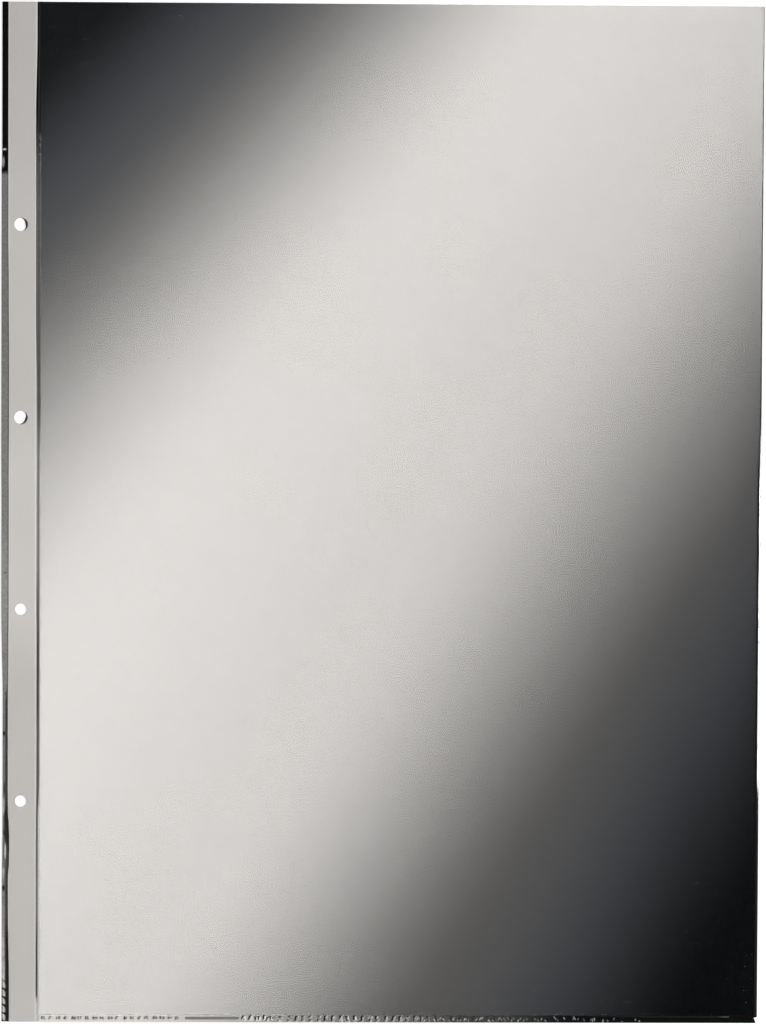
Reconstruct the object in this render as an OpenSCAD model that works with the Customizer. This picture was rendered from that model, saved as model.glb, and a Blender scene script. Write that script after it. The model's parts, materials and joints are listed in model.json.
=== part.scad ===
// Punched display pocket: a leaf of clear film, welded on two sides and folded on the third,
// open at the top, with a reinforced and punched binding margin and a black backing sheet inside.
// It lies on its back: X runs across the leaf away from the margin, Y runs up to the mouth,
// and Z rises from the surface that it lies on. The origin is under the middle of the leaf.

/* [Leaf] */
// Width of the leaf, from the outer edge of the margin to the folded edge
leaf_w = 316; // [240:1:360]
// Height of the leaf, from the bottom edge to the open mouth
leaf_h = 424; // [320:1:480]
// Thickness of one layer of film
film_t = 0.1; // [0.06:0.01:0.15]

/* [Margin] */
// Width of the weld outside the reinforcing strip
outer_weld_w = 2.5; // [1.5:0.1:6]
// Width of the crimp along that weld's outer edge
outer_crimp_w = 1.4; // [0.8:0.1:1.5]
// Width of the reinforcing strip
strip_w = 12; // [9:0.5:20]
// Thickness of the reinforcing strip
strip_t = 0.15; // [0.08:0.01:0.24]
// Width of the fused band between the strip and the line that the leaf turns on
spine_weld_w = 0.6; // [0.6:0.1:2]

/* [Ring holes] */
// Number of punched holes
hole_count = 4; // [2:1:4]
// Diameter of a punched hole
hole_d = 5.5; // [5:0.1:6.5]
// Distance from one hole to the next
hole_pitch = 80; // [60:1:100]
// Distance from the strip's outer edge to the middle of a hole
hole_inset = 5.4; // [4:0.1:5.5]

/* [Pocket] */
// Free film between the turning line and the pocket's side seam
turn_gap = 0.25; // [0.25:0.05:0.6]
// Width of the seam in which the two films part beside the turning line
seam_w = 0.8; // [0.8:0.1:2]
// Width of the creased edge in which the films come together at the fold
fold_w = 1; // [0.6:0.1:2]
// Height of the crimped band along the bottom edge
crimp_h = 2.2; // [1.5:0.1:5]
// Height of the ramp in which the two films part above the crimped band
ramp_h = 0.8; // [0.5:0.1:2]
// Depth of the nick at the top of the crimped band, where the weld draws in the fold
nick_d = 1.4; // [0.6:0.1:3]
// Rise of the nick's upper side towards the fold
nick_rise = 0.3; // [0.1:0.1:0.5]
// Distance by which the bottom corner lies inside the fold
corner_trim = 0.5; // [0:0.1:0.6]

/* [Weld crimp] */
// Distance from one pressed rib to the next
rib_pitch = 2.5; // [1.6:0.1:5]
// Width of a rib at its foot
rib_w = 1.4; // [0.8:0.1:1.5]
// Width of a rib at its crest
rib_crest_w = 0.6; // [0.2:0.1:0.7]
// Height of a rib above the fused film
rib_h = 0.1; // [0.04:0.02:0.2]

/* [Backing sheet] */
// Thickness of the backing sheet
sheet_t = 0.2; // [0.1:0.02:0.36]
// Play between the backing sheet and each film
sheet_play = 0.07; // [0.05:0.01:0.12]
// Play between the backing sheet's edges and the pocket's side seam, fold and bottom weld
sheet_edge_play = 0.2; // [0.1:0.1:2]
// Height of film left above the backing sheet at the mouth
mouth_lip = 0.5; // [0:0.5:10]

/* [Hidden] */
$fn = 64;

// Levels above the table
fused_t = 2 * film_t;
pocket_gap = sheet_t + 2 * sheet_play;
pocket_t = pocket_gap + fused_t;

// Places across the leaf, from the margin to the fold
left = -leaf_w / 2;
strip_left = left + outer_weld_w;
strip_right = strip_left + strip_w;
turn_x = strip_right + spine_weld_w;
seam_left = turn_x + turn_gap;
panel_left = seam_left + seam_w;
right = leaf_w / 2;
panel_right = right - fold_w;
crease_x = right - film_t;
crease_inside_x = crease_x - film_t;

// Places up the leaf, from the bottom edge to the mouth
bottom = -leaf_h / 2;
crimp_top = bottom + crimp_h;
panel_bottom = crimp_top + ramp_h;
mouth = leaf_h / 2;

// Middles of the punched holes
hole_x = strip_left + hole_inset;
hole_ys = [for (i = [0 : hole_count - 1]) (i - (hole_count - 1) / 2) * hole_pitch];

// Outline of one rib above the fused film, across the rib
rib_outline = [[-rib_w / 2, 0], [-rib_crest_w / 2, rib_h], [rib_crest_w / 2, rib_h], [rib_w / 2, 0]];

// Drills and cuts run this far past the faces of what they cut
cut_over = 1;

// Extrudes a profile drawn across X and up Z along Y
module along_y(from, to) {
    translate([0, to, 0]) rotate([90, 0, 0]) linear_extrude(to - from) children();
}

// Extrudes a profile drawn across Y and up Z along X
module along_x(from, to) {
    translate([from, 0, 0]) rotate([90, 0, 90]) linear_extrude(to - from) children();
}

// A flat layer between two corners of the leaf, lying from one level up by its thickness
module layer(x0, x1, y0, y1, level, thickness) {
    translate([x0, y0, level]) cube([x1 - x0, y1 - y0, thickness]);
}

// The drills of the ring holes
module ring_drills() {
    for (y = hole_ys)
        translate([hole_x, y, -cut_over]) cylinder(d = hole_d, h = fused_t + strip_t + 2 * cut_over);
}

// One layer of the margin between its two welds, punched for the rings
module punched_layer(level, thickness) {
    difference() {
        layer(strip_left, strip_right, bottom, mouth, level, thickness);
        ring_drills();
    }
}

// Outline of a crimped band seen along its ribs: fused film with as many whole ribs as fit its length
module crimped_outline(length) {
    ribs = floor(length / rib_pitch);
    first = (length - (ribs - 1) * rib_pitch) / 2;
    polygon(concat(
        [[0, 0], [0, fused_t]],
        [for (i = [0 : ribs - 1], corner = rib_outline)
            [first + i * rib_pitch + corner[0], fused_t + corner[1]]],
        [[length, fused_t], [length, 0]]
    ));
}

// Outline of the pocket seen from its mouth: the side seam's slope, the flat panel and the creased edge
module pocket_outline() {
    polygon([
        [seam_left, 0], [seam_left, fused_t], [panel_left, pocket_t],
        [panel_right, pocket_t], [crease_x, fused_t], [crease_x, 0]
    ]);
    translate([crease_x, film_t]) circle(r = film_t);
}

// Plan of what the weld draws in and trims off at the folded end of the bottom edge
module corner_cut() {
    translate([0, 0, -cut_over])
        linear_extrude(pocket_t + rib_h + 2 * cut_over)
            polygon([
                [right, crimp_top + nick_rise], [right - nick_d, crimp_top],
                [right - corner_trim, bottom], [right - corner_trim, bottom - cut_over],
                [right + cut_over, bottom - cut_over], [right + cut_over, crimp_top + nick_rise]
            ]);
}

// Clear film of the margin that lies on the table
module margin_back_film() {
    color([0.85, 0.88, 0.9, 0.4]) punched_layer(0, film_t);
}

// Clear film of the margin under the strip
module margin_front_film() {
    color([0.85, 0.88, 0.9, 0.4]) punched_layer(film_t, film_t);
}

// Opaque strip that keeps the rings from tearing the film
module reinforcing_strip() {
    color([0.74, 0.72, 0.7]) punched_layer(fused_t, strip_t);
}

// Weld that closes the margin's outer edge: a plain pressed line beside the strip and ribs along the edge
module outer_weld() {
    color([0.3, 0.3, 0.3, 0.7]) {
        layer(left + outer_crimp_w, strip_left, bottom, mouth, 0, fused_t);
        translate([0, bottom, 0]) along_x(left, left + outer_crimp_w) crimped_outline(leaf_h);
    }
}

// Fused band beside the strip, with the round nose that the leaf turns on
module spine_weld() {
    color([0.2, 0.2, 0.2, 0.8])
        along_y(bottom, mouth) {
            translate([strip_right, 0]) square([spine_weld_w, fused_t]);
            translate([turn_x, film_t]) circle(r = film_t);
        }
}

// Clear film behind the backing sheet
module back_film() {
    color([0.85, 0.88, 0.9, 0.4]) layer(panel_left, panel_right, panel_bottom, mouth, 0, film_t);
}

// Clear film over the backing sheet
module front_film() {
    color([0.85, 0.88, 0.9, 0.4])
        layer(panel_left, panel_right, panel_bottom, mouth, film_t + pocket_gap, film_t);
}

// Seam beside the turning line, in which the two films part
module side_seam() {
    color([0.2, 0.2, 0.2, 0.8])
        along_y(panel_bottom, mouth)
            polygon([[seam_left, 0], [seam_left, fused_t], [panel_left, pocket_t], [panel_left, 0]]);
}

// Creased edge where the one web of film turns from front to back, round at its very edge
module folded_edge() {
    color([0.85, 0.88, 0.9, 0.4])
        difference() {
            union() {
                along_y(panel_bottom, mouth)
                    polygon([[panel_right, 0], [panel_right, pocket_t], [crease_x, fused_t], [crease_x, 0]]);
                along_y(panel_bottom, mouth) translate([crease_x, film_t]) circle(r = film_t);
            }
            along_y(panel_bottom - cut_over, mouth + cut_over)
                polygon([
                    [panel_right - cut_over, film_t], [panel_right - cut_over, pocket_t - film_t],
                    [panel_right, pocket_t - film_t], [crease_inside_x, film_t]
                ]);
        }
}

// Crimped weld along the bottom edge, with the ramp in which the two films part above it
module bottom_weld() {
    color([0.3, 0.3, 0.3, 0.7])
        difference() {
            union() {
                intersection() {
                    along_y(bottom, panel_bottom) pocket_outline();
                    along_x(seam_left, right)
                        polygon([
                            [bottom, 0], [bottom, fused_t], [crimp_top, fused_t],
                            [panel_bottom, pocket_t], [panel_bottom, 0]
                        ]);
                }
                translate([panel_left, 0, 0])
                    along_y(bottom, crimp_top) crimped_outline(panel_right - panel_left);
            }
            corner_cut();
        }
}

// Black sheet that stands on the bottom weld and slides out through the mouth
module backing_sheet() {
    color([0.05, 0.05, 0.055])
        layer(
            panel_left + sheet_edge_play, panel_right - sheet_edge_play,
            panel_bottom + sheet_edge_play, mouth - mouth_lip,
            film_t + sheet_play, sheet_t
        );
}

margin_back_film();
margin_front_film();
reinforcing_strip();
outer_weld();
spine_weld();
back_film();
front_film();
side_seam();
folded_edge();
bottom_weld();
backing_sheet();
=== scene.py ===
# %% [markdown]
# # A clear display pocket on a white table
# The object is one leaf of a display book: a web of clear film folded and welded into a pocket, with a
# punched strip down one side and a black card inside. Almost all that the eye sees is a reflection in
# the film, so this lesson spends its care on true surfaces, on a film shader and on what the film mirrors.
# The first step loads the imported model, which fixes every size and place.

# %% Load the frame
import json
import math
import random

import bmesh
import bpy
from mathutils import Matrix, Vector, noise


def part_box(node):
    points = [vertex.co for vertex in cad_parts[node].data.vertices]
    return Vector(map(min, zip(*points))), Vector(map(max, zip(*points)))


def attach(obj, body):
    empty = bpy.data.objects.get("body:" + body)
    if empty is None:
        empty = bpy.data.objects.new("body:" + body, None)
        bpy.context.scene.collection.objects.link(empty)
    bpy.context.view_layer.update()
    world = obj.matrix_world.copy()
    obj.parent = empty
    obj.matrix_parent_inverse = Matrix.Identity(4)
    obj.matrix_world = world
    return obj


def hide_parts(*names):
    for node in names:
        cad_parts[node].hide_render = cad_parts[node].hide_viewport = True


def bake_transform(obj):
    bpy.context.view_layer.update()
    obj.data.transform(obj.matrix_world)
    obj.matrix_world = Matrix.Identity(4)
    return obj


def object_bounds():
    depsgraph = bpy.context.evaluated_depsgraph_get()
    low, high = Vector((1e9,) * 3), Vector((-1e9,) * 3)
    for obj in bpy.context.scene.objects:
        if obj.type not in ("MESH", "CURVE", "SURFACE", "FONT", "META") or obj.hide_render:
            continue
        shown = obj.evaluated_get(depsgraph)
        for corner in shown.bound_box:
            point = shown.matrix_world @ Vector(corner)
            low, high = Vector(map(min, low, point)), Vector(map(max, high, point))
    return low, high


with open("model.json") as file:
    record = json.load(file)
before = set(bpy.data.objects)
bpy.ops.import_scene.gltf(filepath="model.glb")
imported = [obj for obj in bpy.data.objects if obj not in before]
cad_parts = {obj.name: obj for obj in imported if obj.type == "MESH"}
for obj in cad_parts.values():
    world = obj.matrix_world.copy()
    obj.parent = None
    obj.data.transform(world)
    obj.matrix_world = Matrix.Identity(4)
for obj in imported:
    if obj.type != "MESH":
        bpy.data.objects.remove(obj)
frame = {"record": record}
cad_low, cad_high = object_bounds()

# %% [markdown]
# ## Places on the leaf
# X runs across the leaf, Y up to its mouth and Z out of its front. All places are read off the packed
# nodes, so a leaf of another size is dressed by the same script. Fine details are written in
# millimetres, because that is how a maker of film thinks.

# %% Places on the leaf
MM = 0.001
strip_low, strip_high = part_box("reinforcing_strip")
front_low, front_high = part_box("front_film")
card_low, card_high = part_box("backing_sheet")
LEFT, RIGHT = cad_low.x, cad_high.x
BOTTOM, MOUTH = cad_low.y, cad_high.y
PANEL_LEFT, PANEL_RIGHT = front_low.x, front_high.x
PANEL_BOTTOM = front_low.y
SEAM_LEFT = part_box("bottom_weld")[0].x
FILM = front_high.z - front_low.z
FUSED_TOP = strip_low.z
POCKET_TOP = front_high.z
bores = [m for m in frame["record"]["mounts"] if m["kind"] == "bore"]
HOLES = sorted((Vector(m["pos_m"]) for m in bores), key=lambda hole: hole.y)
HOLE_RADIUS = bores[0]["dims"]["r_mm"] * MM
print("pocket", round((PANEL_RIGHT - PANEL_LEFT) / MM, 1), "mm wide,", len(HOLES), "ring holes")

# %% [markdown]
# ## Small helpers for shading
# A node tree written out by hand is long and hard to read. This one helper adds a node, sets its own
# fields and fills its inputs, either with a plain value or with a wire from another node.

# %% Helpers for shading
def new_tree(name):
    """A material with an empty node tree."""
    material = bpy.data.materials.new(name)
    material.use_nodes = True
    material.node_tree.nodes.clear()
    return material, material.node_tree


def add(tree, kind, inputs=None, **fields):
    """Adds a shader node: fields are its own settings, inputs are plain values or other sockets."""
    made = tree.nodes.new("ShaderNode" + kind)
    for field, value in fields.items():
        setattr(made, field, value)
    for socket, value in (inputs or {}).items():
        if isinstance(value, bpy.types.NodeSocket):
            tree.links.new(value, made.inputs[socket])
        else:
            made.inputs[socket].default_value = value
    return made


def show(tree, shader):
    """Wires a shader to the material's output."""
    add(tree, "OutputMaterial", {"Surface": shader.outputs[0]})


def maths(tree, operation, *values):
    """One step of arithmetic on numbers or sockets."""
    return add(tree, "Math", dict(enumerate(values)), operation=operation).outputs[0]


def soft_step(tree, value, start, end, low=0.0, high=1.0):
    """Goes smoothly from low to high as value goes from start to end."""
    inputs = {"Value": value, "From Min": start, "From Max": end, "To Min": low, "To Max": high}
    return add(tree, "MapRange", inputs, interpolation_type="SMOOTHSTEP").outputs[0]


print("helpers ready")

# %% [markdown]
# ## The clear film
# Glossy polypropylene mirrors about a twentieth of the light at each of its two faces and lets the rest
# through. A glass shader would bend light and hide the card from the lamps, so the film is a mix of a
# transparent and a mirror shader. The share that it mirrors grows towards a grazing view by Schlick's
# rule. Worked film, at the fold and the cut edges, turns smoky, and an attribute of the mesh says where.

# %% Clear film
FILM_MIRROR = 0.045
FILM_ROUGHNESS = 0.03
FILM_TINT = (0.97, 0.975, 0.98, 1)
SMOKE_TONE = (0.012, 0.012, 0.014, 1)
PEEL_SCALE, SCUFF_SCALE = 220.0, 35.0
EDGE_ATTRIBUTE = "worked_edge"


def mirror_share(tree, head_on, normal):
    """The share of light that a surface mirrors, from its share head on, by Schlick's rule."""
    facing = add(tree, "LayerWeight", {"Blend": 0.5, "Normal": normal}).outputs["Facing"]
    grazing = maths(tree, "POWER", facing, 5.0)
    return maths(tree, "MULTIPLY_ADD", grazing, 1 - head_on, head_on)


def make_clear_film():
    """Glossy clear film with a faint orange peel, smoky along its worked edges."""
    material, tree = new_tree("clear_film")
    place = add(tree, "TexCoord").outputs["Object"]
    peel = add(tree, "TexNoise", {"Vector": place, "Scale": PEEL_SCALE, "Detail": 2.0})
    normal = add(tree, "Bump", {"Height": peel.outputs[0], "Strength": 0.01, "Distance": 0.2 * MM})
    scuffs = add(tree, "TexNoise", {"Vector": place, "Scale": SCUFF_SCALE, "Detail": 5.0})
    roughness = soft_step(tree, scuffs.outputs[0], 0.35, 0.75, FILM_ROUGHNESS, FILM_ROUGHNESS * 1.6)
    mirror = add(tree, "BsdfAnisotropic", {"Roughness": roughness, "Normal": normal.outputs[0]})
    worked = add(tree, "Attribute", attribute_name=EDGE_ATTRIBUTE).outputs["Fac"]
    clear = add(tree, "BsdfTransparent", {"Color": FILM_TINT})
    smoke = add(tree, "BsdfDiffuse", {"Color": SMOKE_TONE})
    body = add(tree, "MixShader", {0: worked, 1: clear.outputs[0], 2: smoke.outputs[0]})
    share = mirror_share(tree, FILM_MIRROR, normal.outputs[0])
    gloss = maths(tree, "MULTIPLY", share, maths(tree, "SUBTRACT", 1.0, worked))
    show(tree, add(tree, "MixShader", {0: gloss, 1: body.outputs[0], 2: mirror.outputs[0]}))
    return material


clear_film = make_clear_film()
print("film mirrors", FILM_MIRROR, "at each face")

# %% [markdown]
# ## The welds
# A heated bar presses the two films into one. Where it presses cleanly, the film has no air behind it any
# more and looks black and wet, and what shows of it is again what it mirrors. Where it is stretched or only
# half fused it turns milky, and where it is scuffed it loses its gloss. Where the welds are matt, their pale
# tone is also painted light: painted reflections and highlights in place of what the film would mirror, and
# painted shadow in two holes. Two attributes of the mesh carry that into the material: haze is how milky
# the film is, together with that painted light, and matt is how much of its gloss is lost.

# %% Welded film
HAZE_AND_LIGHT_ATTRIBUTE, MATT_ATTRIBUTE = "haze_and_painted_light", "matt"
# The pale tone is that of milky film and also of the painted highlights and reflections on the welds.
BLACK_TONE, HAZE_AND_HIGHLIGHT_TONE = (0.0015, 0.0015, 0.0015, 1), (0.75, 0.73125, 0.7125, 1)
WELD_GRAIN_SCALE = 900.0
WET_ROUGHNESS, DULL_ROUGHNESS = 0.08, 0.55
WET_SPECULAR, DULL_SPECULAR = 0.85, 0.03


def make_welded_film():
    """Black, wet-looking fused film, milky where it has a haze and dull where it is matt; the haze also
    carries painted reflections, highlights and shadows.
    """
    material, tree = new_tree("welded_film")
    place = add(tree, "TexCoord").outputs["Object"]
    haze_and_painted_light = add(tree, "Attribute", attribute_name=HAZE_AND_LIGHT_ATTRIBUTE).outputs["Fac"]
    matt = add(tree, "Attribute", attribute_name=MATT_ATTRIBUTE).outputs["Fac"]
    grain = add(tree, "TexNoise", {"Vector": place, "Scale": WELD_GRAIN_SCALE, "Detail": 3.0})
    mottle = soft_step(tree, grain.outputs[0], 0.3, 0.7, 0.85, 1.1)
    tones = {"Factor": maths(tree, "MULTIPLY", haze_and_painted_light, mottle), 6: BLACK_TONE, 7: HAZE_AND_HIGHLIGHT_TONE}
    colour = add(tree, "Mix", tones, data_type="RGBA").outputs[2]
    normal = add(tree, "Bump", {"Height": grain.outputs[0], "Strength": 0.12, "Distance": 0.05 * MM})
    surface = {
        "Base Color": colour,
        "Roughness": soft_step(tree, matt, 0.0, 1.0, WET_ROUGHNESS, DULL_ROUGHNESS),
        "Normal": normal.outputs[0],
        "Specular IOR Level": soft_step(tree, matt, 0.0, 1.0, WET_SPECULAR, DULL_SPECULAR),
    }
    show(tree, add(tree, "BsdfPrincipled", surface))
    return material


welded_film = make_welded_film()
print("weld material", welded_film.name)

# %% [markdown]
# ## The reinforcing strip
# The strip is an opaque, warm grey plastic tape with a satin face. It has a fine grain and slow, cloudy
# differences of tone, and its two long edges are a little paler where it is sealed down. Along its length it
# is painted paler from a little above the middle down, a painted sheen, and darker towards its lower end,
# painted shade.

# %% Satin strip
STRIP_TONE = (0.44, 0.425, 0.41, 1)
STRIP_EDGE_TONE = (0.56, 0.545, 0.53, 1)
STRIP_EDGE = 0.6 * MM
STRIP_GRAIN_SCALE, CLOUD_SCALE = 1400.0, 14.0
SEALED_SHARE, CLOUD_SHARE = 0.65, 0.35
SHEEN_START, SHEEN_END, SHEEN_GAIN = 45 * MM, 10 * MM, 1.1
SHADE_START, SHADE_END, SHADE_GAIN = -30 * MM, -75 * MM, 0.79


def make_satin_strip():
    """Warm grey tape with a fine grain, paler sealed edges, a painted sheen along its middle and painted
    shade at its lower end.
    """
    material, tree = new_tree("satin_strip")
    place = add(tree, "TexCoord").outputs["Object"]
    sides = add(tree, "SeparateXYZ", {0: place})
    across, up = sides.outputs[0], sides.outputs[1]
    middle = (strip_low.x + strip_high.x) / 2
    half = (strip_high.x - strip_low.x) / 2
    from_middle = maths(tree, "ABSOLUTE", maths(tree, "SUBTRACT", across, middle))
    sealed = soft_step(tree, from_middle, half - 1.6 * STRIP_EDGE, half - STRIP_EDGE)
    grain = add(tree, "TexNoise", {"Vector": place, "Scale": STRIP_GRAIN_SCALE, "Detail": 4.0})
    cloud = add(tree, "TexNoise", {"Vector": place, "Scale": CLOUD_SCALE, "Detail": 3.0})
    shade = soft_step(tree, cloud.outputs[0], 0.3, 0.7, 0.0, CLOUD_SHARE)
    pale = maths(tree, "ADD", maths(tree, "MULTIPLY", sealed, SEALED_SHARE), shade)
    tones = {"Factor": pale, 6: STRIP_TONE, 7: STRIP_EDGE_TONE}
    mixed = add(tree, "Mix", tones, data_type="RGBA").outputs[2]
    # Painted sheen from a little above the middle down, and painted shade towards the lower end.
    paler = soft_step(tree, up, SHEEN_END, SHEEN_START, SHEEN_GAIN, 1.0)
    darker = soft_step(tree, up, SHADE_END, SHADE_START, SHADE_GAIN, 1.0)
    gain = maths(tree, "MULTIPLY", paler, darker)
    colour = add(tree, "VectorMath", {0: mixed, "Scale": gain}, operation="SCALE").outputs["Vector"]
    normal = add(tree, "Bump", {"Height": grain.outputs[0], "Strength": 0.12, "Distance": 0.06 * MM})
    roughness = soft_step(tree, grain.outputs[0], 0.3, 0.7, 0.32, 0.42)
    surface = {"Base Color": colour, "Roughness": roughness, "Normal": normal.outputs[0]}
    show(tree, add(tree, "BsdfPrincipled", surface))
    return material


satin_strip = make_satin_strip()
print("strip material", satin_strip.name)

# %% [markdown]
# ## The black card
# The card inside is dyed paper: very dark, matt, and made of fibres. Two noises at different scales,
# one of them stretched, give fibres that can be felt as well as seen once the card is pulled out.

# %% Black card stock
FIBRE_SCALE, FIBRE_STRETCH = 1500.0, (1.0, 0.18, 1.0)
TOOTH_SCALE = 700.0
CARD_DARK, CARD_PALE = 0.001, 0.005
CARD_RED, CARD_BLUE = 0.8, 1.2


def make_black_card():
    """Matt black paper with a tangle of fibres."""
    material, tree = new_tree("black_paper")
    place = add(tree, "TexCoord").outputs["Object"]
    stretched = add(tree, "Mapping", {"Vector": place, "Scale": FIBRE_STRETCH})
    fibres = add(tree, "TexNoise", {"Vector": stretched.outputs[0], "Scale": FIBRE_SCALE, "Detail": 4.0})
    tooth = add(tree, "TexNoise", {"Vector": place, "Scale": TOOTH_SCALE, "Detail": 5.0})
    mixed = maths(tree, "MULTIPLY", fibres.outputs[0], tooth.outputs[0])
    tone = soft_step(tree, mixed, 0.1, 0.5, CARD_DARK, CARD_PALE)
    red = maths(tree, "MULTIPLY", tone, CARD_RED)
    blue = maths(tree, "MULTIPLY", tone, CARD_BLUE)
    colour = add(tree, "CombineColor", {0: red, 1: tone, 2: blue})
    normal = add(tree, "Bump", {"Height": mixed, "Strength": 0.25, "Distance": 0.05 * MM})
    surface = {
        "Base Color": colour.outputs[0],
        "Roughness": 0.8,
        "Normal": normal.outputs[0],
        "Specular IOR Level": 0.04,
    }
    show(tree, add(tree, "BsdfPrincipled", surface))
    return material


black_card_stock = make_black_card()
print("card material", black_card_stock.name)

# %% [markdown]
# ## Helpers for modelling
# Each piece is a bmesh that becomes an object at the origin, with its place in its mesh. A relief,
# such as a crimped weld, starts as a flat grid whose points are lifted. Extruding the whole grid and
# pressing the copy flat gives the relief its underside, so that it ends as a closed solid.

# %% Helpers for modelling
SHARP = math.radians(24)


def make_piece(name, bm, material):
    """Turns a bmesh into a piece with outward normals, smooth faces and crisp edges."""
    bmesh.ops.recalc_face_normals(bm, faces=bm.faces[:])
    open_edges = sum(not e.is_manifold for e in bm.edges)
    mesh = bpy.data.meshes.new(name)
    bm.to_mesh(mesh)
    bm.free()
    mesh.shade_smooth()
    mesh.set_sharp_from_angle(angle=SHARP)
    mesh.materials.append(material)
    piece = bpy.data.objects.new(name, mesh)
    bpy.context.scene.collection.objects.link(piece)
    print(name, len(mesh.polygons), "faces,", open_edges, "open edges")
    return piece


def flat_grid(x0, x1, y0, y1, cell_x, cell_y):
    """A flat grid of cells between two corners of the leaf."""
    bm = bmesh.new()
    spread = Matrix.Diagonal((x1 - x0, y1 - y0, 1, 1))
    place = Matrix.Translation(((x0 + x1) / 2, (y0 + y1) / 2, 0)) @ spread
    columns, rows = round((x1 - x0) / cell_x), round((y1 - y0) / cell_y)
    bmesh.ops.create_grid(bm, x_segments=columns, y_segments=rows, size=0.5, matrix=place)
    return bm


def verts_in(geom):
    """The points among what an operator has made."""
    return [part for part in geom if isinstance(part, bmesh.types.BMVert)]


def stand_on(bm, level):
    """Gives a relief a flat underside at a level, and returns the underside's points."""
    under = verts_in(bmesh.ops.extrude_face_region(bm, geom=bm.faces[:])["geom"])
    for vert in under:
        vert.co.z = level
    return under


def weld_layers(bm):
    """Adds the two attributes that the welded film reads."""
    haze_and_light_layer = bm.verts.layers.float.new(HAZE_AND_LIGHT_ATTRIBUTE)
    matt_layer = bm.verts.layers.float.new(MATT_ATTRIBUTE)
    return haze_and_light_layer, matt_layer


def ease(value, start, end):
    """Goes smoothly from 0 to 1 as value goes from start to end."""
    t = min(1.0, max(0.0, (value - start) / (end - start)))
    return t * t * (3 - 2 * t)


def spot(at, middle, half):
    """1 in the middle of a spot along a line, 0 outside it."""
    return 1 - ease(abs(at - middle), 0.4 * half, half)


def crinkle(x, y, size):
    """Smooth unevenness between -1 and 1 with bumps of about a size."""
    return noise.noise(Vector((x / size, y / size, 0.37)))


print("sharp edges over", round(math.degrees(SHARP)), "degrees")

# %% [markdown]
# ## The web of clear film
# Front, back and fold are one web of film, creased at the right and open at the mouth. Its outline,
# seen from the mouth, is a row of narrow quads between an outer and an inner line. That row is drawn
# once at the bottom and extruded up the leaf step by step, so the wall is closed and even all the way.

# %% Outline of the web
FILM_CELL = 5 * MM
EDGE_BAND = 0.6 * MM
FOLD_SPLITS = (0.92, 0.8, 0.6, 0.35)
NOSE_STEPS = 6
NOSE_INSIDE = 0.2
CREASE = RIGHT - FILM


def steps_between(start, end, cell, band):
    """Places from start to end about a cell apart, with one more a band inside each end."""
    inner = end - start - 2 * band
    count = max(1, round(inner / cell))
    return [start] + [start + band + inner * i / count for i in range(count + 1)] + [end]


def web_outline():
    """Pairs of outer and inner points (x, z), from the back film round the fold to the front film."""
    across = steps_between(PANEL_LEFT, PANEL_RIGHT, FILM_CELL, EDGE_BAND)
    back = [((x, 0.0), (x, FILM)) for x in across]
    front = [((x, POCKET_TOP), (x, POCKET_TOP - FILM)) for x in reversed(across)]
    nose = []
    for i in range(NOSE_STEPS + 1):
        turn_by = math.pi * (i / NOSE_STEPS - 0.5)
        out = Vector((math.cos(turn_by), math.sin(turn_by))) * FILM
        inner = out * NOSE_INSIDE
        nose.append(((CREASE + out.x, FILM + out.y), (CREASE + inner.x, FILM + inner.y)))
    fold = []
    for share in FOLD_SPLITS:
        x = PANEL_RIGHT + share * (CREASE - PANEL_RIGHT)
        fold.append(((x, POCKET_TOP), (x, POCKET_TOP - FILM)))
    return back + nose + fold + front


outline = web_outline()
print("web outline has", len(outline), "pairs of points")

# %% [markdown]
# The front film is never quite flat: long, very low waves bend what it mirrors. Towards the fold it stays
# level in the upper half of the leaf, and slopes down to the crease in the lower half. Where the card
# doesn't reach, at the edges, the back film is smoky, or the white table would shine through there.

# %% Web of clear film
WAVE_HEIGHT = 0.04 * MM
WAVE_LENGTH = 95 * MM
WAVE_RISE = 25 * MM
FOLD_LEVEL_START, FOLD_LEVEL_END = 10 * MM, 75 * MM
FOLD_POWER, FOLD_POWER_RISE = 1.2, 14.8
SMOKY_NOSE_TOP = 30 * MM


def film_wave(x, y):
    """How far the front film stands off flat: long low waves that die out at the seams."""
    held = ease(x, PANEL_LEFT, PANEL_LEFT + WAVE_RISE) * ease(x, PANEL_RIGHT, PANEL_RIGHT - WAVE_RISE)
    held *= ease(y, PANEL_BOTTOM, PANEL_BOTTOM + WAVE_RISE)
    return WAVE_HEIGHT * held * crinkle(x, y * 0.7, WAVE_LENGTH)


def fold_drop(x, y):
    """How far the pocket's front has come down from level on its way to the crease of the fold."""
    share = min(1.0, max(0.0, (x - PANEL_RIGHT) / (CREASE - PANEL_RIGHT)))
    power = FOLD_POWER + FOLD_POWER_RISE * ease(y, FOLD_LEVEL_START, FOLD_LEVEL_END)
    return (POCKET_TOP - FUSED_TOP) * share ** power


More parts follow.
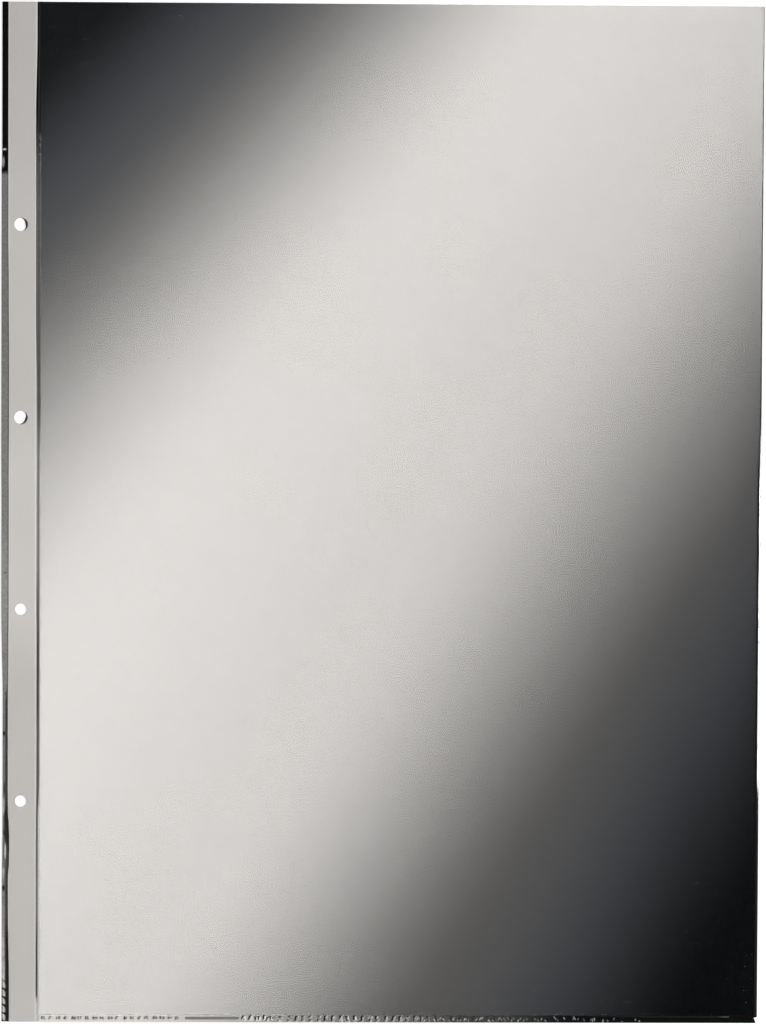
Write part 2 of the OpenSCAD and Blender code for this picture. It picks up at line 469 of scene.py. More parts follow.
def make_clear_web():
    """Front film, fold and back film as one closed web."""
    bm = bmesh.new()
    rows = steps_between(PANEL_BOTTOM, MOUTH, FILM_CELL, EDGE_BAND)
    rails = [[bm.verts.new((x, rows[0], z)) for x, z in pair] for pair in outline]
    row = [bm.faces.new((a[0], a[1], b[1], b[0])) for a, b in zip(rails, rails[1:])]
    for y in rows[1:]:
        made = bmesh.ops.extrude_face_region(bm, geom=row)["geom"]
        row = [f for f in made if isinstance(f, bmesh.types.BMFace)]
        for vert in {v for f in row for v in f.verts}:
            vert.co.y = y
    worked = bm.verts.layers.float.new(EDGE_ATTRIBUTE)
    band = 1.1 * EDGE_BAND
    for vert in bm.verts:
        x, y, z = vert.co
        at_edge = min(x - PANEL_LEFT, y - PANEL_BOTTOM, PANEL_RIGHT - x, MOUTH - y) < band
        behind = z < 1.2 * FILM or (x > CREASE and y < SMOKY_NOSE_TOP)
        vert[worked] = float(at_edge and behind)
        if z > POCKET_TOP - 1.5 * FILM:
            vert.co.z += film_wave(x, y) - fold_drop(x, y)
    return make_piece("clear_web", bm, clear_film)


clear_web = make_clear_web()
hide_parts("front_film", "back_film", "folded_edge")
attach(clear_web, "pocket")

# %% [markdown]
# ## The punched band
# The margin's film and the strip on it are both flat bands with four ring holes. A band starts as an
# outline and four circles, which are filled in one go so that the holes stay open. An inset gives each
# edge a narrow rim, the rim is pressed down a little, and the edges are drawn down to the underside.
# The tape was laid by a machine that wanders, so its long edges stray by up to 0.7 mm, and in the two lower
# holes it reaches a little into the bore.

# %% Punched bands
HOLE_SIDES = 56
EDGE_STEP = 6 * MM
TAPE_REACH = 0.33 * MM
TAPE_OFFSET = Vector((0.17, 0.28, 0)) * MM
LOWER_HOLES, UPPER_HOLES = HOLES[:len(HOLES) // 2], HOLES[len(HOLES) // 2:]


def strip_unrest(y):
    """How far the strip's left and right edges stray to the right of straight, all in millimetres."""
    left = 0.22 * ease(y, 115, 95) + 0.18 * spot(y, 52, 40) + 0.12 * spot(y, -15, 45)
    left += 0.5 * (spot(y, -138, 14) + ease(y, -160, -200)) - 0.12 * spot(y, -95, 35)
    right = -0.55 * ease(y, 200, 165) + 0.38 * ease(y, 85, 50) + 0.17 * ease(y, -35, -55)
    right -= 0.15 * ease(y, -115, -126)
    return left, right


def band_outline(low, high):
    """Corners of a band with the strip's long edges, up its right side and down its left."""
    steps = round((high.y - low.y) / EDGE_STEP)
    ys = [low.y + (high.y - low.y) * i / steps for i in range(steps + 1)]
    right = [(high.x + MM * strip_unrest(y / MM)[1], y) for y in ys]
    left = [(low.x + MM * strip_unrest(y / MM)[0], y) for y in reversed(ys)]
    return right + left


def punched_band(name, low, high, holes, rim, drop, material):
    """A band with open ring holes and a soft rim along every upper edge."""
    bm = bmesh.new()
    corners = [bm.verts.new((x, y, high.z)) for x, y in band_outline(low, high)]
    for a, b in zip(corners, corners[1:] + corners[:1]):
        bm.edges.new((a, b))
    for hole, radius in holes:
        place = Matrix.Translation((hole.x, hole.y, high.z))
        bmesh.ops.create_circle(bm, segments=HOLE_SIDES, radius=radius, matrix=place)
    bmesh.ops.triangle_fill(bm, edges=bm.edges[:], use_beauty=True)
    bmesh.ops.recalc_face_normals(bm, faces=bm.faces[:])
    bmesh.ops.inset_region(bm, faces=bm.faces[:], thickness=rim, use_boundary=True, use_even_offset=True)
    edges = [e for e in bm.edges if e.is_boundary]
    bmesh.ops.translate(bm, verts=list({v for e in edges for v in e.verts}), vec=(0, 0, -drop))
    walls = bmesh.ops.extrude_edge_only(bm, edges=edges)["geom"]
    for vert in verts_in(walls):
        vert.co.z = low.z
    feet = [e for e in walls if isinstance(e, bmesh.types.BMEdge) and e.is_boundary]
    bmesh.ops.triangle_fill(bm, edges=feet, use_beauty=True)
    return make_piece(name, bm, material)


STRIP_RIM, STRIP_DROP = 0.16 * MM, 0.09 * MM
FILM_RIM = 0.01 * MM
bored = [(hole, HOLE_RADIUS) for hole in HOLES]
taped = [(hole, HOLE_RADIUS) for hole in UPPER_HOLES]
taped += [(hole + TAPE_OFFSET, HOLE_RADIUS - TAPE_REACH) for hole in LOWER_HOLES]
punched_strip = punched_band(
    "punched_strip", strip_low, strip_high, taped, STRIP_RIM, STRIP_DROP, satin_strip
)
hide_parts("reinforcing_strip")
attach(punched_strip, "margin")

margin_low = Vector((strip_low.x, strip_low.y, 0.0))
margin_high = Vector((strip_high.x, strip_high.y, FUSED_TOP - FILM_RIM))
margin_web = punched_band("margin_web", margin_low, margin_high, bored, FILM_RIM, FILM_RIM, clear_film)
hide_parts("margin_back_film", "margin_front_film")
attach(margin_web, "margin")

# %% [markdown]
# ## Painted shadows in the holes
# In the two upper holes a dark sliver of film on one side is painted shadow, the shade that the hole's wall
# casts there. Each is a crescent between the hole's wall and a line that bulges into the hole, sloping down
# from the strip's face.

# %% Painted hole shadows
SHADOW_STEPS = 14
SHADOW_ARC = math.radians(85)
SHADOW_HAZE = 0.07
SHADOW_ROOT = 0.02 * MM
SHADOW_SUNK, SHADOW_UNDERSIDE = 0.04 * MM, 0.02 * MM
PAINTED_HOLE_SHADOWS = ((UPPER_HOLES[1], 12, 0.95 * MM), (UPPER_HOLES[0], -22, 0.85 * MM))


def painted_shadow_crescent(bm, hole, facing, width):
    """Adds the top of one painted shadow to a bmesh: a dark crescent on the side that a hole's wall faces."""
    rims = []
    for i in range(SHADOW_STEPS + 1):
        off = SHADOW_ARC * (2 * i / SHADOW_STEPS - 1)
        out = Vector((math.cos(facing + off), math.sin(facing + off), 0))
        bulge = width * math.cos(off * math.pi / 2 / SHADOW_ARC) ** 1.5 + SHADOW_ROOT
        outer, inner = hole + out * HOLE_RADIUS, hole + out * (HOLE_RADIUS - bulge)
        outer.z, inner.z = strip_high.z - SHADOW_SUNK, FUSED_TOP
        rims.append((bm.verts.new(outer), bm.verts.new(inner)))
    for a, b in zip(rims, rims[1:]):
        bm.faces.new((a[0], b[0], b[1], a[1]))


def make_painted_hole_shadows():
    """The painted shadows of the two upper holes."""
    bm = bmesh.new()
    for hole, facing, width in PAINTED_HOLE_SHADOWS:
        painted_shadow_crescent(bm, hole, math.radians(facing), width)
    haze_and_light_layer, matt_layer = weld_layers(bm)
    for vert in bm.verts:
        vert[haze_and_light_layer] = SHADOW_HAZE
        vert[matt_layer] = 1.0
    stand_on(bm, SHADOW_UNDERSIDE)
    return make_piece("painted_hole_shadows", bm, welded_film)


painted_hole_shadows = make_painted_hole_shadows()
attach(painted_hole_shadows, "margin")

# %% [markdown]
# ## The crimped outer edge
# Outside the strip the films are closed by a weld that was pressed unevenly. At the top it is black and
# clean down to one pucker. Below that it is a calm, matt flap with a pressed line beside the strip; the
# flap's pale grey is milky film and a painted reflection of the softbox's sheen. The line widens to a dark
# groove further down, where the flap is spotted, and its pale spots are whitened film and painted highlights.
# The bottom end is crimped into a row of teeth, painted white: whitened film and painted highlights. Here
# lengths are plain millimetres: inward from the rim, and up from the leaf's middle. A spot is a tuple: its
# place, its two half sizes and, for a pale one, its haze.

# %% Crimped outer edge
PUCKER_TOP, PUCKER_FOOT = 152.5, 141.0
TEETH_TOP = -197.0
TOOTH_PITCH = 3.4
TOOTH_HALF_UP, TOOTH_HALF_IN = 1.45, 1.35
GROOVED_START, GROOVED_END = -70, -79
GROOVE_TILT = math.tan(math.radians(14))
DARK_SPOTS = (
    (1.5, 149.4, 1.1, 1.5), (0.5, 142.3, 0.6, 1.2), (1.3, -24.5, 0.6, 0.35), (1.7, -75.0, 0.7, 1.4),
    (1.0, -91.5, 2.0, 1.3), (1.7, -114.5, 1.6, 4.5), (0.7, -133.0, 0.5, 1.2), (0.7, -156.0, 0.9, 1.6),
)
# Pale spots: whitened film and painted highlights.
PALE_AND_HIGHLIGHT_SPOTS = (
    (1.0, 151.0, 1.0, 0.6, 0.85), (0.5, 145.8, 0.8, 3.0, 0.45), (1.2, -140.5, 0.45, 4.5, 1.6),
    (0.5, -122.0, 0.6, 5.0, 0.7), (0.6, -150.0, 0.6, 3.0, 0.7), (0.5, -180.0, 0.5, 8.0, 0.8),
    (0.8, -193.0, 0.7, 6.0, 1.0),
)
GROOVE_LIMIT = 0.15
EDGE_CELL_X, EDGE_CELL_Y = 0.16 * MM, 0.25 * MM


def rim_unrest(y):
    """How far the flap's outer rim strays inward from straight."""
    stray = -0.25 * ease(y, 150, 140) + 0.1 * spot(y, -15, 45) + 0.75 * ease(y, -35, -78)
    return stray - 0.25 * ease(y, -125, -165) - 0.05 * ease(y, -175, -200)


def flap_haze_and_sheen(inward, y):
    """How milky the flap is at a place, with the painted reflection and painted highlights in its pale tone.
    """
    haze_and_painted_light = 0.27 + 0.06 * ease(y, 90, 30) + 0.1 * spot(y, -32, 30) - 0.05 * ease(y, -72, -80)
    haze_and_painted_light += 0.2 * ease(y, -140, -172) + 0.35 * ease(y, -180, -195)
    haze_and_painted_light *= ease(y, PUCKER_FOOT + 1.5, PUCKER_FOOT - 1)
    for x, middle, half_x, half_y, pale in PALE_AND_HIGHLIGHT_SPOTS:
        haze_and_painted_light += max(0.0, pale - haze_and_painted_light) * spot(math.hypot((inward - x) / half_x, (y - middle) / half_y), 0, 1)
    for x, middle, half_x, half_y in DARK_SPOTS:
        haze_and_painted_light *= 1 - 0.9 * spot(math.hypot((inward - x) / half_x, (y - middle) / half_y), 0, 1)
    return haze_and_painted_light


def edge_relief(inward, y):
    """Depth and haze of the outer edge at a place; the haze also carries painted reflection and highlights.
    """
    width = (strip_low.x - LEFT) / MM
    toothed = ease(y, TEETH_TOP + 4, TEETH_TOP)
    grooved = ease(y, GROOVED_START, GROOVED_END)
    split = 2.1 - 0.9 * grooved - 0.5 * spot(y, -130, 9) + 0.12 * crinkle(0, y, 9)
    blur = 0.2 + 0.15 * grooved
    half = 0.5 * (width - split)
    groove = GROOVE_TILT * max(0.0, half - abs(inward - split - half)) * ease(y, PUCKER_TOP, PUCKER_FOOT)
    groove = min(groove, GROOVE_LIMIT)
    slanted = y - BOTTOM / MM - 0.6 + 0.8 * inward + 0.5 * crinkle(inward, y, 2.5)
    along = slanted % TOOTH_PITCH - 0.5 * TOOTH_PITCH
    from_tooth = math.hypot(along / TOOTH_HALF_UP, (inward - 0.4) / TOOTH_HALF_IN)
    tooth = ease(from_tooth, 1.0, 0.8) * ease(inward, 0.15, 0.4)
    gap = toothed * (1 - tooth)
    unrest = max(spot(y, 0.5 * (PUCKER_TOP + PUCKER_FOOT), 7.5), 0.8 * ease(y, -75, -185), 0.1)
    bump = unrest * ease(inward, split, split - 0.5) * crinkle(inward, y, 1.1)
    patchy = 1 - 0.3 * unrest * (1 + crinkle(inward + 7, y, 2.4))
    # The flap's pale grey is milky film and painted reflection; the teeth's white is whitened film and
    # painted highlights.
    pale = flap_haze_and_sheen(inward, y) * patchy * (1 - toothed) + toothed * tooth * (0.85 + 0.4 * crinkle(5, y, 3))
    line = 0.2 + 0.05 * spot(y, -10, 45) - 0.12 * grooved
    line -= 0.05 * spot(y, -130, 12) + 0.06 * ease(y, -168, -178)
    line *= ease(y, PUCKER_FOOT + 1.5, PUCKER_FOOT - 1)
    haze_and_painted_light = line + (pale - line) * ease(inward, split + blur, split - blur)
    return max(groove, 0.1 * gap) - 0.05 * bump, max(0.0, haze_and_painted_light)


def make_crimped_edge():
    """The weld outside the strip, with its groove, its pucker and its crimped end."""
    bm = flat_grid(LEFT, strip_low.x, BOTTOM, MOUTH, EDGE_CELL_X, EDGE_CELL_Y)
    haze_and_light_layer, matt_layer = weld_layers(bm)
    for vert in bm.verts:
        y = vert.co.y / MM
        share = (vert.co.x - LEFT) / (strip_low.x - LEFT)
        depth, haze_and_painted_light = edge_relief((vert.co.x - LEFT) / MM, y)
        vert.co.x += MM * (rim_unrest(y) * (1 - share) + strip_unrest(y)[0] * share)
        vert.co.z = FUSED_TOP - depth * MM
        vert[haze_and_light_layer] = haze_and_painted_light
        vert[matt_layer] = 1.0
    stand_on(bm, 0.0)
    return make_piece("crimped_edge", bm, welded_film)


crimped_edge = make_crimped_edge()
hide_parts("outer_weld")
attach(crimped_edge, "margin")

# %% [markdown]
# ## The crimped foot
# The bottom weld carries the marks of a toothed bar. At the left they are short ticks in pairs, then comes
# a stretch where the bar slipped, then long ticks with whitened flanks, and at the right only strokes of
# whitened film and one fine line are left. A tick is a pressed notch with straight sides, and a stroke
# is haze: whitened film and a painted highlight in one. Each mark is a tuple: its place, slant, half width,
# lower end, upper end and depth.

# %% Marks of the bar
FOOT_PITCH = 3.1 * MM
SLIP_START, SLIP_END = -82 * MM, -58 * MM
LONG_START = -40 * MM
FADE_START, FADE_END = 20 * MM, 80 * MM
LINE_START, LINE_END = 108 * MM, 146 * MM
MARK_END = 0.3 * MM
SLIP_UP, SLIP_HALF = 1.6 * MM, 0.75 * MM
SLIP_DEPTH, SLIP_HAZE = 0.1, 0.36
LINE_UP, LINE_HALF = 2.55 * MM, 0.25 * MM


def foot_marks():
    """The seeded ticks and strokes for each step of the bar."""
    dice = random.Random(11)
    steps = []
    for i in range(round((PANEL_RIGHT - PANEL_LEFT) / FOOT_PITCH)):
        middle = PANEL_LEFT + (i + 0.5) * FOOT_PITCH + dice.uniform(-0.35, 0.35) * MM
        fading = ease(middle, FADE_START, FADE_END)
        ticks, strokes = [], []
        if middle < SLIP_START:
            for side in (-0.5, 0.45):
                low, top = dice.uniform(0.75, 1.1) * MM, dice.uniform(2.0, 2.3) * MM
                half, depth = dice.uniform(0.35, 0.55) * MM, dice.uniform(0.5, 0.9)
                ticks.append((middle + side * MM, dice.uniform(-0.3, 0.3), half, low, top, depth))
        elif SLIP_END < middle < LONG_START:
            for side in (-0.7, 0.3):
                low, top = dice.uniform(0.3, 1.2) * MM, dice.uniform(2.0, 2.8) * MM
                ticks.append((middle + side * MM, dice.uniform(-0.5, 0.5), 0.6 * MM, low, top, 0.65))
        elif LONG_START <= middle < LINE_START:
            depth = 0.95 - 0.6 * fading
            ticks.append((middle, dice.uniform(-0.3, 0.3), 0.6 * MM, 0.3 * MM, 2.6 * MM, depth))
        if LONG_START - 5 * MM < middle < LINE_START:
            for side in (-0.9, 0.1, 0.8):
                low = dice.uniform(0.0, 1.2) * MM
                top = low + dice.uniform(0.7, 1.7) * MM
                kept = dice.random() > 0.05 + 0.55 * ease(middle, LONG_START, LINE_START)
                # A stroke's white is whitened film and a painted highlight.
                white = kept * dice.uniform(0.25, 0.9) * (1.2 - 0.35 * fading)
                strokes.append((middle + side * MM, dice.uniform(-0.8, 0.8), 0.3 * MM, low, top, white))
        steps.append((ticks, strokes))
    return steps


def mark_at(mark, x, up):
    """How deep a place lies in a mark, from 0 outside it to the mark's depth on its middle line."""
    middle, slant, half, low, top, depth = mark
    off = abs(x - middle - slant * (up - low)) / half
    return depth * max(0.0, min(1 - off, (up - low) / MARK_END, (top - up) / MARK_END))


def foot_lines(x, up):
    """Depth and haze of the long marks: a dull streak where the bar slipped, a fine line at the right."""
    slip = ease(x, SLIP_START, SLIP_START + 2 * MM) * ease(x, SLIP_END, SLIP_END - 2 * MM)
    slip *= max(0.0, 1 - abs(up - SLIP_UP) / SLIP_HALF)
    fine = ease(x, LINE_START - 30 * MM, LINE_START) * ease(x, LINE_END + 0.4 * MM, LINE_END)
    fine *= 0.03 + 0.18 * ease(x, LINE_END - 5 * MM, LINE_END - 1 * MM)
    fine *= max(0.0, 1 - abs(up - LINE_UP) / LINE_HALF)
    return SLIP_DEPTH * slip, max(fine, SLIP_HAZE * slip)


marks = foot_marks()
print(sum(len(t) for t, s in marks), "ticks and", sum(len(s) for t, s in marks), "strokes")

# %% [markdown]
# The relief is cut to the foot's outline first, which is drawn in to a nick at the fold. The weld's front
# lies level with the front film, and under it the back film climbs to meet the front one. Towards the fold
# the bar has dulled the weld, so it mirrors nothing there and stays black.

# %% Crimped foot
FOOT_CELL = 0.17 * MM
RAMP_HEIGHT = 0.8 * MM
CRIMP_TOP = PANEL_BOTTOM - RAMP_HEIGHT
TICK_DEPTH = 0.13 * MM
NICK_DEPTH = 1.4 * MM
NICK_RISE = 0.3 * MM
CORNER_TRIM = 0.5 * MM
DULL_STEPS = ((-20 * MM, 40 * MM, 0.65), (50 * MM, 90 * MM, 0.35))


def foot_plan():
    """The flat grid of the foot, cut to the nick at the fold."""
    bm = flat_grid(PANEL_LEFT, RIGHT, BOTTOM, PANEL_BOTTOM, FOOT_CELL, FOOT_CELL)
    nick = Vector((RIGHT - NICK_DEPTH, CRIMP_TOP, 0))
    fold_end = Vector((RIGHT, CRIMP_TOP + NICK_RISE, 0))
    corner = Vector((RIGHT - CORNER_TRIM, BOTTOM, 0))
    upper_cut = (fold_end - nick).cross(Vector((0, 0, 1)))
    side_cut = (nick - corner).cross(Vector((0, 0, 1)))
    for cut in (upper_cut, side_cut):
        everything = bm.verts[:] + bm.edges[:] + bm.faces[:]
        bmesh.ops.bisect_plane(bm, geom=everything, plane_co=nick, plane_no=cut, dist=1e-7)
    lost = []
    for face in bm.faces:
        away = face.calc_center_median() - nick
        if away.dot(upper_cut) > 0 and away.dot(side_cut) > 0:
            lost.append(face)
    bmesh.ops.delete(bm, geom=lost, context="FACES")
    return bm


def make_crimped_foot():
    """The crimped weld along the bottom edge."""
    bm = foot_plan()
    haze_and_light_layer, matt_layer = weld_layers(bm)
    for vert in bm.verts:
        x, up = vert.co.x, vert.co.y - BOTTOM
        near = min(len(marks) - 1, max(0, int((x - PANEL_LEFT) / FOOT_PITCH)))
        sunk, white = foot_lines(x, up)
        for ticks, strokes in marks[max(0, near - 1):near + 2]:
            sunk = max([sunk] + [mark_at(mark, x, up) for mark in ticks])
            white = max([white] + [mark_at(mark, x, up) for mark in strokes])
        vert.co.z = POCKET_TOP - fold_drop(x, vert.co.y) - TICK_DEPTH * sunk
        vert[haze_and_light_layer] = white
        dull = sum(share * ease(x, start, end) for start, end, share in DULL_STEPS)
        vert[matt_layer] = max(min(1.0, 4 * white), dull)
    for vert in stand_on(bm, 0.0):
        climb = min(1.0, (PANEL_BOTTOM - vert.co.y) / RAMP_HEIGHT)
        vert.co.z = climb * (POCKET_TOP - fold_drop(vert.co.x, vert.co.y) - FUSED_TOP)
    return make_piece("crimped_foot", bm, welded_film)


crimped_foot = make_crimped_foot()
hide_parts("bottom_weld")
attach(crimped_foot, "pocket")

# %% [markdown]
# ## The turning seam
# Between the strip and the pocket runs a pressed line, on which the leaf turns when it is bound, and
# beside it the two films part. One relief makes both, because the real film runs through. The pressed line
# is dull and dark, narrower near its top and its foot. Beside it the weld is matt and painted pale, most in
# the lower half and where the line ends above the bottom edge: a painted reflection of the film's sheen.
# The piece spans the margin and the pocket, and it is left whole over the turning line, not cut there.

# %% Turning seam
SEAM_STEEPNESS = 4.5
SEAM_GROOVE_DEPTH = 0.1
SEAM_PUCKER_Y, SEAM_PUCKER_HALF = 151, 8
SEAM_END = -205
GENTLE_START, GENTLE_END = -115, -126
SEAM_CELL_X, SEAM_CELL_Y = 0.08 * MM, 0.6 * MM


def seam_relief(across, y):
    """Level in millimetres, haze with its painted sheen, and gloss loss of the seam, beside the strip at a
    height on the leaf.
    """
    gentle = ease(y, GENTLE_START, GENTLE_END)
    free = (SEAM_LEFT - strip_high.x) / MM - 0.4 * gentle
    width = (PANEL_LEFT - strip_high.x) / MM
    along = min(1.0, max(0.0, (across - free) / (width - free)))
    part = (POCKET_TOP - FUSED_TOP) / MM * (1 - (1 - along) ** (SEAM_STEEPNESS - 2.5 * gentle))
    line_w = 1.05 - 0.28 * gentle - 0.3 * ease(y, 45, 70)
    ended = ease(y, SEAM_END + 5, SEAM_END)
    groove = (1 - ended) * max(0.0, 1 - abs(across / line_w - 0.4) / 0.4)
    pucker = spot(y, SEAM_PUCKER_Y, SEAM_PUCKER_HALF) * ease(across, free - 0.3, free)
    pucker *= crinkle(across, y, 1.2)
    inside = ease(across, line_w + 0.1, line_w - 0.15)
    dark = 0.22 * ease(y, 170, 125) + 0.23 * spot(y, 2, 45)
    dark += 0.06 * spot(y, -160, 14) - 0.09 * (spot(y, -68, 24) + ease(y, -172, -182))
    # light is a painted reflection of the film's sheen on the matt weld beside the line.
    light = max(0.66 * ease(y, 60, 10), 0.2 * ease(y, 165, 125)) + 0.35 * gentle
    haze_and_painted_light = light + (dark - light) * inside * (1 - ended)
    haze_and_painted_light = max(haze_and_painted_light, 0.35 * max(0.0, pucker))
    matt = max(inside, ease(light, 0.0, 0.2))
    return FUSED_TOP / MM + part - SEAM_GROOVE_DEPTH * groove + 0.04 * pucker, haze_and_painted_light, matt


def make_turning_seam():
    """The pressed turning line and the seam in which the films part."""
    bm = flat_grid(strip_high.x, PANEL_LEFT, BOTTOM, MOUTH, SEAM_CELL_X, SEAM_CELL_Y)
    haze_and_light_layer, matt_layer = weld_layers(bm)
    for vert in bm.verts:
        y = vert.co.y / MM
        share = (vert.co.x - strip_high.x) / (PANEL_LEFT - strip_high.x)
        level, haze_and_painted_light, matt = seam_relief((vert.co.x - strip_high.x) / MM, y)
        vert.co.x += MM * strip_unrest(y)[1] * (1 - share)
        vert.co.z = level * MM
        vert[haze_and_light_layer] = haze_and_painted_light
        vert[matt_layer] = matt
    stand_on(bm, 0.0)
    return make_piece("turning_seam", bm, welded_film)


turning_seam = make_turning_seam()
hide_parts("spine_weld", "side_seam")
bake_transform(turning_seam)

# %% [markdown]
# ## The black card
# Card is never dead flat either. The sheet is a grid with a slow cockle, far lower than the play between
# the films, extruded to its thickness, and its cut edges are bevelled by the guillotine.

# %% Black card
CARD_CELL = 8 * MM
CARD_COCKLE, COCKLE_LENGTH = 0.02 * MM, 120 * MM
CARD_BEVEL = 0.04 * MM
CARD_CORNER = math.radians(60)


def make_black_sheet():
    """The card that slides out of the mouth."""
    bm = flat_grid(card_low.x, card_high.x, card_low.y, card_high.y, CARD_CELL, CARD_CELL)
    for vert in bm.verts:
        vert.co.z = card_low.z
    top = verts_in(bmesh.ops.extrude_face_region(bm, geom=bm.faces[:])["geom"])
    bmesh.ops.translate(bm, verts=top, vec=(0, 0, card_high.z - card_low.z))
    bmesh.ops.recalc_face_normals(bm, faces=bm.faces[:])
    rim = [e for e in bm.edges if e.calc_face_angle(0) > CARD_CORNER]
    bmesh.ops.bevel(bm, geom=rim, offset=CARD_BEVEL, segments=2, profile=0.5, affect="EDGES", material=-1)
    for vert in bm.verts:
        vert.co.z += CARD_COCKLE * crinkle(vert.co.x, vert.co.y, COCKLE_LENGTH)
    return make_piece("black_card", bm, black_card_stock)


black_card = make_black_sheet()
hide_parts("backing_sheet")
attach(black_card, "backing")

# %% [markdown]
# ## The camera
# The leaf was photographed from straight above with a long lens, only a little off square. The place and
# the turn below were fitted to the leaf's corners.

# %% Camera
LENS, SENSOR = 120, 36
CAMERA_PLACE = Vector((-0.0218, 0.0437, 1.42))
CAMERA_TURN = tuple(math.radians(a) for a in (-1.711, -0.889, 0.271))
camera_data = bpy.data.cameras.new("camera")
camera_data.lens = LENS
camera_data.sensor_width = SENSOR
camera = bpy.data.objects.new("camera", camera_data)
camera.location = CAMERA_PLACE
camera.rotation_euler = CAMERA_TURN
bpy.context.scene.collection.objects.link(camera)
bpy.context.scene.camera = camera
print("camera", round(CAMERA_PLACE.z, 2), "m above the table")

# %% [markdown]
# ## The table and the room
# The table is white, and takes the leaf's shadow. A little of its white is its own light, seen by the
# eye and by gloss only, so that no more light falls on the leaf. Further off, where the lamps don't reach,
# all of it is. The room is pale at the horizon and dims towards the ceiling, so that tilted film mirrors
# something dark.

# %% Table and room
TABLE_GAP = 0.03 * MM
TABLE_SIZE = 24.0
TABLE_WHITE = 0.9
TABLE_GLOW, FAR_GLOW = 0.35, 1.0
GLOW_START, GLOW_END = 0.5, 2.2


def seen_directly(tree):
    """1 for what the eye, gloss and clear things see, 0 for what lights the leaf."""
    path = add(tree, "LightPath")
    seen = maths(tree, "MAXIMUM", path.outputs["Is Camera Ray"], path.outputs["Is Glossy Ray"])
    return maths(tree, "MAXIMUM", seen, path.outputs["Is Transmission Ray"])


def make_table():
    """A white table just under the leaf."""
    material, tree = new_tree("white_table")
    white = add(tree, "BsdfDiffuse", {"Color": (TABLE_WHITE, TABLE_WHITE, TABLE_WHITE, 1)})
    place = add(tree, "TexCoord").outputs["Object"]
    away = add(tree, "VectorMath", {0: place}, operation="LENGTH").outputs["Value"]
    strength = soft_step(tree, away, GLOW_START, GLOW_END, TABLE_GLOW, FAR_GLOW)
    glow = add(tree, "Emission", {"Strength": maths(tree, "MULTIPLY", seen_directly(tree), strength)})
    show(tree, add(tree, "AddShader", {0: white.outputs[0], 1: glow.outputs[0]}))
    bm = bmesh.new()
    under = Matrix.Translation((0, 0, -TABLE_GAP))
    bmesh.ops.create_grid(bm, x_segments=1, y_segments=1, size=TABLE_SIZE / 2, matrix=under)
    return make_piece("table", bm, material)


make_table()

ROOM_HORIZON, ROOM_CEILING = 1.0, 0.12
DIM_START, DIM_END = 0.05, 0.75
room = bpy.data.worlds.new("room")
room.use_nodes = True
room.node_tree.nodes.clear()
upward = add(room.node_tree, "TexCoord").outputs["Generated"]
height = add(room.node_tree, "SeparateXYZ", {0: upward}).outputs[2]
dimmed = soft_step(room.node_tree, height, DIM_START, DIM_END, ROOM_HORIZON, ROOM_CEILING)
light = add(room.node_tree, "Background", {"Strength": dimmed})
add(room.node_tree, "OutputWorld", {"Surface": light.outputs[0]})
bpy.context.scene.world = room
bpy.context.scene.view_settings.view_transform = "Standard"

# %% [markdown]
# ## The lamps
# Three soft lamps stand round the table. They are too low to be mirrored by flat film, so they only give
# shape to ribs and rims. The one at the right is the strongest and the lowest, which draws a thin shadow
# in each hole. The two at the left stand across the leaf's corners, where no seam mirrors them.

# %% Lamps
LAMP_SIZE = 0.6
LAMP_DISTANCE = 1.8
LAMPS = (("lamp_key", 0, 31, 31), ("lamp_back", 130, 50, 4.6), ("lamp_front", 230, 50, 4.6))


def make_lamp(name, azimuth, rise, power):
    """A soft square lamp that looks at the middle of the leaf from an azimuth and a rise in degrees."""
    lamp_data = bpy.data.lights.new(name, "AREA")
    lamp_data.size = LAMP_SIZE
    lamp_data.energy = power
    lamp = bpy.data.objects.new(name, lamp_data)
    side = Vector((math.cos(math.radians(azimuth)), math.sin(math.radians(azimuth)), 0))
    up = Vector((0, 0, 1))
    lamp.location = LAMP_DISTANCE * (side * math.cos(math.radians(rise)) + up * math.sin(math.radians(rise)))
    lamp.rotation_euler = (-lamp.location).to_track_quat("-Z", "Y").to_euler()
    bpy.context.scene.collection.objects.link(lamp)


for lamp_row in LAMPS:
    make_lamp(*lamp_row)
print(len(LAMPS), "lamps")

# %% [markdown]
# ## What the film mirrors
# The broad diagonal sheen on the leaf is a softbox above the camera. Its light fans out from a far
# corner: it comes up slowly, crests and falls away again, each a soft step round that corner. Further
# from the corner the light is a little stronger, and its main step is sharper. Flat film shows the
# softbox magnified, so its corner is found by following the mirrored view up to its height. Only gloss
# sees the softbox, so it doesn't change how brightly the leaf is lit. A step of the fan is a tuple: its first
# and last angle in degrees, by how much each of them draws in further off, and its change of tone.

# %% Softbox
SOFTBOX_HEIGHT = 1.9
SOFTBOX_SIZE = 1.7
SOFTBOX_MIDDLE = (0.05, -0.05, SOFTBOX_HEIGHT)
SOFTBOX_BASE = 0.01
BOTH_FACES = 0.0665
FAN_NEAR, FAN_FAR = 1.15, 1.47
NEAR_GAIN, FAR_GAIN = 0.985, 1.065
COOL_TINT, WARM_TINT = (0.955, 1.0, 1.09, 1), (1.035, 1.0, 0.962, 1)
WARM_START, WARM_END = (118.0, 120.5), (132.5, 135.0)
FAN_CORNER_ON_FILM = Vector((0.741, 1.033))
FAN_STEPS = (
    (116.2, 121.1, 0.0, 0.089),
    (119.9, 124.9, 0.35, 0.51),
    (124.3, 128.7, 0.0, 0.089),
    (128.9, 134.0, 0.0, -0.603),
    (133.3, 136.3, 0.0, -0.079),
)


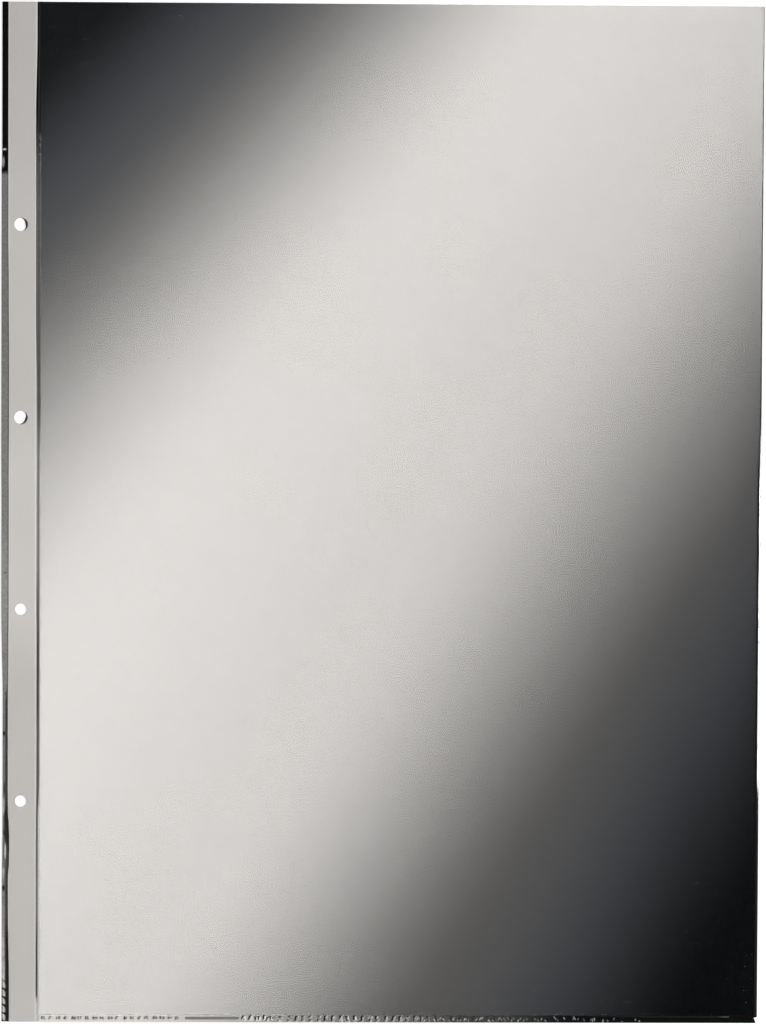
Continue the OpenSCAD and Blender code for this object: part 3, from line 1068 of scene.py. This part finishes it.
def make_fan_light(corner, magnified):
    """Light that fans out from a corner, in soft steps of angle round it."""
    material, tree = new_tree("softbox")
    place = add(tree, "TexCoord").outputs["Object"]
    sides = add(tree, "SeparateXYZ", {0: place})
    along = maths(tree, "SUBTRACT", sides.outputs[0], corner.x)
    down = maths(tree, "SUBTRACT", corner.y, sides.outputs[1])
    angle = maths(tree, "MULTIPLY", maths(tree, "ARCTAN2", down, along), math.degrees(1))
    from_corner = {0: place, 1: (corner.x, corner.y, SOFTBOX_HEIGHT)}
    away = add(tree, "VectorMath", from_corner, operation="DISTANCE").outputs["Value"]
    near, far = FAN_NEAR * magnified, FAN_FAR * magnified
    tone = 0.0
    for start, end, sharper, change in FAN_STEPS:
        first = soft_step(tree, away, near, far, start - sharper, start + sharper)
        last = soft_step(tree, away, near, far, end + sharper, end - sharper)
        tone = maths(tree, "ADD", tone, soft_step(tree, angle, first, last, 0.0, change))
    gain = soft_step(tree, away, near, far, NEAR_GAIN / BOTH_FACES, FAR_GAIN / BOTH_FACES)
    strength = maths(tree, "MULTIPLY_ADD", tone, gain, SOFTBOX_BASE)
    warmth = maths(tree, "SUBTRACT", soft_step(tree, angle, *WARM_START), soft_step(tree, angle, *WARM_END))
    tints = {"Factor": warmth, 6: COOL_TINT, 7: WARM_TINT}
    tint = add(tree, "Mix", tints, data_type="RGBA").outputs[2]
    show(tree, add(tree, "Emission", {"Color": tint, "Strength": strength}))
    material.cycles.emission_sampling = "NONE"
    return material


def make_softbox():
    """The overhead softbox, which only gloss sees."""
    below = CAMERA_PLACE.xy
    magnified = 1 + SOFTBOX_HEIGHT / CAMERA_PLACE.z
    corner = below + (FAN_CORNER_ON_FILM - below) * magnified
    bm = bmesh.new()
    middle = Matrix.Translation(SOFTBOX_MIDDLE)
    bmesh.ops.create_grid(bm, x_segments=1, y_segments=1, size=SOFTBOX_SIZE / 2, matrix=middle)
    softbox = make_piece("softbox", bm, make_fan_light(corner, magnified))
    for rays in ("camera", "diffuse", "transmission", "volume_scatter", "shadow"):
        setattr(softbox, "visible_" + rays, False)
    print("fan corner", [round(v, 3) for v in corner])
    return softbox


make_softbox()
